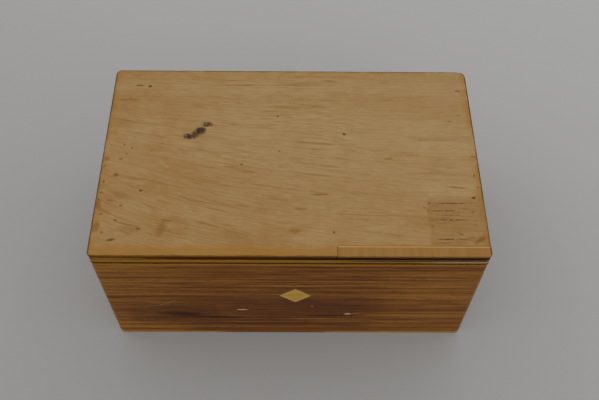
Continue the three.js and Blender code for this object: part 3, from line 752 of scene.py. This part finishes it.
def trim_to(bm, low, high):
    """Cuts a mesh down to a box, on the sides where it reaches past it."""
    for axis in "xyz":
        ends = [getattr(v.co, axis) for v in bm.verts]
        if min(ends) < getattr(low, axis) - CLOSE:
            cut_away(bm, axis, getattr(low, axis), -1)
        if max(ends) > getattr(high, axis) + CLOSE:
            cut_away(bm, axis, getattr(high, axis), 1)
    return bm


def cut_across(bm, axis, place):
    """Adds a cut across an axis."""
    normal = AXES[axis]
    bmesh.ops.bisect_plane(bm, geom=everything(bm), plane_co=normal * place, plane_no=normal)


def slice_up(bm, axis, spacing):
    """Adds cuts across an axis, so that the wear has points to move."""
    ends = [getattr(v.co, axis) for v in bm.verts]
    low, high = min(ends), max(ends)
    count = int((high - low) / spacing)
    for i in range(1, count):
        cut_across(bm, axis, low + (high - low) * i / count)


def soften(bm, width, segments=2):
    """Rounds the sharp outward edges."""
    edges = [
        e for e in bm.edges
        if len(e.link_faces) == 2 and e.is_convex and e.calc_face_angle(0) > SHARP
    ]
    bevel(bm, edges, width, segments)


def soften_upper(bm, width, top, cuts):
    """Rounds the edges round the top, but not those that lie in one of the cuts."""
    bm.normal_update()
    edges = [
        e for e in bm.edges
        if len(e.link_faces) == 2 and e.calc_face_angle(0) > SHARP
        and all(v.co.z > top - CLOSE for v in e.verts)
        and not any(all(abs(getattr(v.co, axis) - place) < CLOSE for v in e.verts) for axis, place in cuts)
    ]
    bevel(bm, edges, width, 3)


def wear_edges(bm, seed):
    """Rubs the rounded edges back unevenly. The flats stay where they are."""
    depth, size = sizes().wear, sizes().wear_spacing
    bm.normal_update()
    moves = []
    for vert in bm.verts:
        edge = min(1, 4 * (1 - max(abs(part) for part in vert.normal)))
        rub = 0.5 + 0.5 * noise.noise(vert.co / size + Vector((seed, seed, seed)))
        chip = max(0, noise.noise(vert.co / (size * 0.35) + Vector((seed, 0, 0))) - 0.35) * 2
        moves.append(vert.normal * (-depth * edge * (rub + chip)))
    for vert, move in zip(bm.verts, moves):
        vert.co += move


def copy_of(node):
    """A merged copy of a CAD node's mesh, with its flat faces whole again."""
    bm = bmesh.new()
    bm.from_mesh(frame["nodes"][node].data)
    bmesh.ops.remove_doubles(bm, verts=bm.verts, dist=CLOSE)
    bmesh.ops.dissolve_limit(bm, angle_limit=FLAT, verts=bm.verts, edges=bm.edges)
    return bm


def put(bm, node, material):
    """Makes the piece that stands for a CAD node, with its body."""
    bmesh.ops.recalc_face_normals(bm, faces=bm.faces)
    mesh = bpy.data.meshes.new(node + "_piece")
    bm.to_mesh(mesh)
    bm.free()
    mesh.polygons.foreach_set("use_smooth", [True] * len(mesh.polygons))
    mesh.materials.append(material)
    piece = bpy.data.objects.new(node + "_piece", mesh)
    bpy.context.scene.collection.objects.link(piece)
    weighted = piece.modifiers.new("even_normals", "WEIGHTED_NORMAL")
    weighted.weight = 80
    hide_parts(node)
    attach(piece, BODY_OF[node])
    return piece


def put_board(node, material):
    """A squared board where the CAD has one, with softened edges."""
    low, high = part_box(node)
    bm = block(low, high)
    soften(bm, sizes().fine_arris)
    return put(bm, node, material)


def put_copy(node, material):
    """A piece with cut-outs, copied from the CAD and softened."""
    bm = copy_of(node)
    soften(bm, sizes().fine_arris)
    return put(bm, node, material)


def put_outer(node, material, arris, seed, radii=None):
    """A piece that follows the rounded outline: cut from a slab, sliced, softened and worn."""
    low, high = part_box(node)
    bm = trim_to(slab(low.z, high.z, radii), low, high)
    for axis in "xy":
        if getattr(high - low, axis) > 10 * sizes().slice:
            slice_up(bm, axis, sizes().slice * (1 if axis == "x" else 2))
    soften(bm, arris, 3)
    wear_edges(bm, seed)
    return put(bm, node, material)


# ---------- Operators ----------


class PUZZLEBOX_OT_stage(bpy.types.Operator):
    """Sets up the floor, the soft light and the camera"""

    bl_idname = "puzzle_box.stage"
    bl_label = "Stage"
    bl_options = {"REGISTER", "UNDO"}

    def execute(self, context):
        stage = context.scene.puzzle_box_stage
        self.floor(stage)
        self.lights(context, stage)
        self.camera(context, stage)
        return {"FINISHED"}

    def floor(self, stage):
        f = Finish("paper")
        cloud = f.cloud(f.x * 0.004, f.y * 0.004, 1.0, 2)
        # Painted light falloff: the floor is coloured darker towards the front and left, and lighter
        # towards the back and right.
        painted_light_falloff = (f.y + f.x * 0.6 + (cloud - 0.5) * 60).between(-190, 330)
        base = f.mix(painted_light_falloff, (*stage.floor, 1), (*stage.far_floor_painted_light, 1))
        paper = f.surface(base, 0.8)
        below = Matrix.Translation((0, 0, -stage.floor_gap))
        bm = bmesh.new()
        bmesh.ops.create_grid(bm, x_segments=8, y_segments=8, size=stage.floor_reach, matrix=below)
        mesh = bpy.data.meshes.new("floor")
        bm.to_mesh(mesh)
        bm.free()
        mesh.materials.append(paper)
        floor = bpy.data.objects.new("floor", mesh)
        bpy.context.scene.collection.objects.link(floor)

    def lights(self, context, stage):
        world = bpy.data.worlds.new("air")
        world.use_nodes = True
        air = world.node_tree.nodes["Background"]
        air.inputs["Color"].default_value = (1.0, 1.0, 1.0, 1)
        air.inputs["Strength"].default_value = stage.air
        context.scene.world = world
        self.soft_light(context, "left_light", (-0.80, 0.00, 0.90), stage.left_light)
        self.soft_light(context, "back_light", (0.25, 0.80, 0.55), stage.back_light)

    def soft_light(self, context, name, place, power):
        """A round light that faces the middle of the scene."""
        data = bpy.data.lights.new(name, "AREA")
        data.shape = "DISK"
        data.size = context.scene.puzzle_box_stage.light_size
        data.energy = power
        light = bpy.data.objects.new(name, data)
        light.location = place
        light.rotation_mode = "QUATERNION"
        light.rotation_quaternion = (-Vector(place)).to_track_quat("-Z", "Y")
        context.scene.collection.objects.link(light)

    def camera(self, context, stage):
        turn, dip, roll = stage.camera_turn, stage.camera_dip, stage.camera_roll
        ahead = Vector((math.sin(turn) * math.cos(dip), math.cos(turn) * math.cos(dip), -math.sin(dip)))
        right = Vector((math.cos(turn), -math.sin(turn), 0))
        up = right.cross(ahead)
        leaning_right = right * math.cos(roll) + up * math.sin(roll)
        leaning_up = up * math.cos(roll) - right * math.sin(roll)
        data = bpy.data.cameras.new("camera")
        data.lens = stage.lens
        data.clip_start = 0.01
        camera = bpy.data.objects.new("camera", data)
        turned = Matrix((leaning_right, leaning_up, -ahead)).transposed()
        camera.matrix_world = Matrix.Translation(stage.camera_place) @ turned.to_4x4()
        context.scene.collection.objects.link(camera)
        bpy.context.scene.camera = camera


class PUZZLEBOX_OT_base(bpy.types.Operator):
    """Makes the base sheet and the bottom board"""

    bl_idname = "puzzle_box.base"
    bl_label = "Base"
    bl_options = {"REGISTER", "UNDO"}

    def execute(self, context):
        put_outer("base_sheet", base_edge("base_sheet_wood"), sizes().fine_arris, 2)
        put_board("bottom_board", plain_board("bottom_pine", "pine", "x", "y", "z", 11))
        return {"FINISHED"}


class PUZZLEBOX_OT_walls(bpy.types.Operator):
    """Makes the four inner walls and the pegs of their corners"""

    bl_idname = "puzzle_box.walls"
    bl_label = "Walls"
    bl_options = {"REGISTER", "UNDO"}

    def execute(self, context):
        long_wood = plain_board("wall_pine_long", "pine", "x", "z", "y", 3)
        short_wood = plain_board("wall_pine_short", "pine", "y", "z", "x", 7)
        for node in ("front_wall", "back_wall"):
            put_copy(node, long_wood)
        for node in ("left_end_wall", "right_end_wall"):
            put_copy(node, short_wood)
        peg_wood = plain_board("peg_beech", "beech", "y", "x", "z", 2, rays=True)
        for node in BODY_OF:
            if node.endswith("_peg"):
                self.peg(node, peg_wood)
        return {"FINISHED"}

    def peg(self, node, material):
        low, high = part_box(node)
        bm = prism(low, high, 32)
        soften(bm, sizes().fine_arris)
        put(bm, node, material)


class PUZZLEBOX_OT_ends(bpy.types.Operator):
    """Makes the veneers of the two ends and the pale line at the left"""

    bl_idname = "puzzle_box.ends"
    bl_label = "Ends"
    bl_options = {"REGISTER", "UNDO"}

    def execute(self, context):
        veneer = stained("end_stain", "y", "z", "x")
        for node in ("left_end_veneer", "right_end_veneer"):
            put_board(node, veneer)
        put_board("left_pale_line", pale_edge("end_pale_wood", "y"))
        return {"FINISHED"}


class PUZZLEBOX_OT_back(bpy.types.Operator):
    """Makes the fixed back panel: core, veneer and pale line"""

    bl_idname = "puzzle_box.back"
    bl_label = "Back panel"
    bl_options = {"REGISTER", "UNDO"}

    def execute(self, context):
        fine = sizes().fine_arris
        put_outer("back_panel_core", plain_board("back_core_pine", "pine", "x", "z", "y", 9), fine, 4)
        put_outer("back_veneer", stained("back_stain", "x", "z", "y"), fine, 5)
        put_outer("back_pale_line", pale_edge("back_pale_wood", "x"), fine, 6)
        return {"FINISHED"}


class PUZZLEBOX_OT_rails(bpy.types.Operator):
    """Makes the two dovetail rails that the front panel slides on"""

    bl_idname = "puzzle_box.rails"
    bl_label = "Rails"
    bl_options = {"REGISTER", "UNDO"}

    def execute(self, context):
        wood = plain_board("rail_beech", "beech", "x", "z", "y", 4, rays=True)
        for node in ("lower_panel_rail", "upper_panel_rail"):
            put_copy(node, wood)
        return {"FINISHED"}


class PUZZLEBOX_OT_panel(bpy.types.Operator):
    """Makes the sliding front panel: core, veneer, pale line and diamond"""

    bl_idname = "puzzle_box.panel"
    bl_label = "Front panel"
    bl_options = {"REGISTER", "UNDO"}

    def execute(self, context):
        put_copy("front_panel_core", plain_board("panel_core_pine", "pine", "x", "z", "y", 13))
        put_copy("front_veneer", stained("front_stain", "x", "z", "y", front=True))
        put_outer("front_pale_line", pale_edge("front_pale_wood", "x"), sizes().fine_arris, 8)
        self.diamond()
        return {"FINISHED"}

    def diamond(self):
        low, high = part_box("diamond_inlay")
        bm = prism(low, high, 4)
        soften(bm, sizes().inlay_arris)
        put(bm, "diamond_inlay", diamond_wood("diamond_wood"))


class PUZZLEBOX_OT_bolts(bpy.types.Operator):
    """Makes the two upright bolts with their fingernail notches"""

    bl_idname = "puzzle_box.bolts"
    bl_label = "Bolts"
    bl_options = {"REGISTER", "UNDO"}

    def execute(self, context):
        wood = plain_board("bolt_beech", "beech", "z", "x", "y", 6, rays=True)
        for node in ("left_bolt", "right_bolt"):
            put_copy(node, wood)
        return {"FINISHED"}


class PUZZLEBOX_OT_lid(bpy.types.Operator):
    """Makes the lid: board, face and the strip let into it"""

    bl_idname = "puzzle_box.lid"
    bl_label = "Lid"
    bl_options = {"REGISTER", "UNDO"}

    def execute(self, context):
        radii = {
            "back_right": sizes().worn_corner, "back_left": sizes().crisp_corner,
            "front_left": sizes().crisp_corner, "front_right": sizes().crisp_corner,
        }
        put_copy("lid_board", pale_edge("lid_board_wood", "x"))
        self.face(radii, bare_wood("lid_face_wood"))
        put_outer("lid_edge_patch", patch_wood("lid_patch_wood"), sizes().inlay_arris, 9, radii)
        return {"FINISHED"}

    def face(self, radii, material):
        """The face has a notch at the front right, where the strip is let in."""
        low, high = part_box("lid_face")
        patch_low, patch_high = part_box("lid_edge_patch")
        glue = sizes().glue
        bm = slab(low.z, high.z, radii)
        bm.normal_update()
        bmesh.ops.delete(bm, geom=[f for f in bm.faces if f.normal.z > -0.9], context="FACES")
        cuts = (("x", patch_low.x - glue), ("y", patch_high.y + glue))
        for axis, place in cuts:
            cut_across(bm, axis, place)
        notch = [
            f for f in bm.faces
            if f.calc_center_median().x > cuts[0][1] and f.calc_center_median().y < cuts[1][1]
        ]
        bmesh.ops.delete(bm, geom=notch, context="FACES")
        made = bmesh.ops.extrude_face_region(bm, geom=bm.faces[:])
        raised = [g for g in made["geom"] if isinstance(g, bmesh.types.BMVert)]
        bmesh.ops.translate(bm, verts=raised, vec=(0, 0, high.z - low.z))
        bmesh.ops.recalc_face_normals(bm, faces=bm.faces)
        bmesh.ops.dissolve_limit(bm, angle_limit=FLAT, verts=bm.verts, edges=bm.edges)
        slice_up(bm, "x", sizes().slice)
        slice_up(bm, "y", sizes().slice)
        soften_upper(bm, sizes().arris, high.z, cuts)
        wear_edges(bm, 4)
        put(bm, "lid_face", material)


class PUZZLEBOX_OT_lines(bpy.types.Operator):
    """Makes the four dyed lines round the lid"""

    bl_idname = "puzzle_box.lines"
    bl_label = "Dyed lines"
    bl_options = {"REGISTER", "UNDO"}

    def execute(self, context):
        fine = sizes().inlay_arris
        long_dye = dyed("long_line_dye", "x")
        short_dye = dyed("short_line_dye", "y")
        put_outer("lid_front_line", long_dye, fine, 11)
        put_outer("lid_back_line", long_dye, fine, 12)
        put_outer("lid_left_line", short_dye, fine, 13)
        put_outer("lid_right_line", short_dye, fine, 14)
        return {"FINISHED"}


class PUZZLEBOX_OT_guides(bpy.types.Operator):
    """Makes what hangs under the lid: keys, runner, batten and fascia"""

    bl_idname = "puzzle_box.guides"
    bl_label = "Lid guides"
    bl_options = {"REGISTER", "UNDO"}

    def execute(self, context):
        wood = plain_board("key_beech", "beech", "x", "y", "z", 8, rays=True)
        for node in ("front_left_key", "front_right_key", "back_runner"):
            put_copy(node, wood)
        put_board("lid_batten", plain_board("batten_beech", "beech", "y", "x", "z", 5, rays=True))
        put_copy("lid_fascia", stained("fascia_stain", "y", "z", "x"))
        put_board("fascia_pale_line", pale_edge("fascia_pale_wood", "y"))
        return {"FINISHED"}


class PUZZLEBOX_PT_sidebar(bpy.types.Panel):
    """Lists the operators, and the sizes and colours that they use"""

    bl_label = "Puzzle box"
    bl_idname = "PUZZLEBOX_PT_sidebar"
    bl_space_type = "VIEW_3D"
    bl_region_type = "UI"
    bl_category = "Puzzle box"

    def draw(self, context):
        for operator in OPERATORS:
            self.layout.operator(operator.bl_idname)
        for group in SETTINGS:
            box = self.layout.box()
            settings = getattr(context.scene, group)
            for name in settings.bl_rna.properties.keys():
                if name not in ("rna_type", "name"):
                    box.prop(settings, name)


OPERATORS = (
    PUZZLEBOX_OT_stage,
    PUZZLEBOX_OT_base,
    PUZZLEBOX_OT_walls,
    PUZZLEBOX_OT_ends,
    PUZZLEBOX_OT_back,
    PUZZLEBOX_OT_rails,
    PUZZLEBOX_OT_panel,
    PUZZLEBOX_OT_bolts,
    PUZZLEBOX_OT_lid,
    PUZZLEBOX_OT_lines,
    PUZZLEBOX_OT_guides,
)
SETTINGS = {
    "puzzle_box_sizes": PuzzleBoxSizes,
    "puzzle_box_colours": PuzzleBoxColours,
    "puzzle_box_stage": PuzzleBoxStage,
}
CLASSES = (*SETTINGS.values(), *OPERATORS, PUZZLEBOX_PT_sidebar)


def register():
    for cls in CLASSES:
        bpy.utils.register_class(cls)
    for name, group in SETTINGS.items():
        setattr(bpy.types.Scene, name, bpy.props.PointerProperty(type=group))


def unregister():
    for name in SETTINGS:
        delattr(bpy.types.Scene, name)
    for cls in reversed(CLASSES):
        bpy.utils.unregister_class(cls)


def main():
    register()
    for operator in OPERATORS:
        group, name = operator.bl_idname.split(".")
        getattr(getattr(bpy.ops, group), name)()


if __name__ == "__main__":
    main()
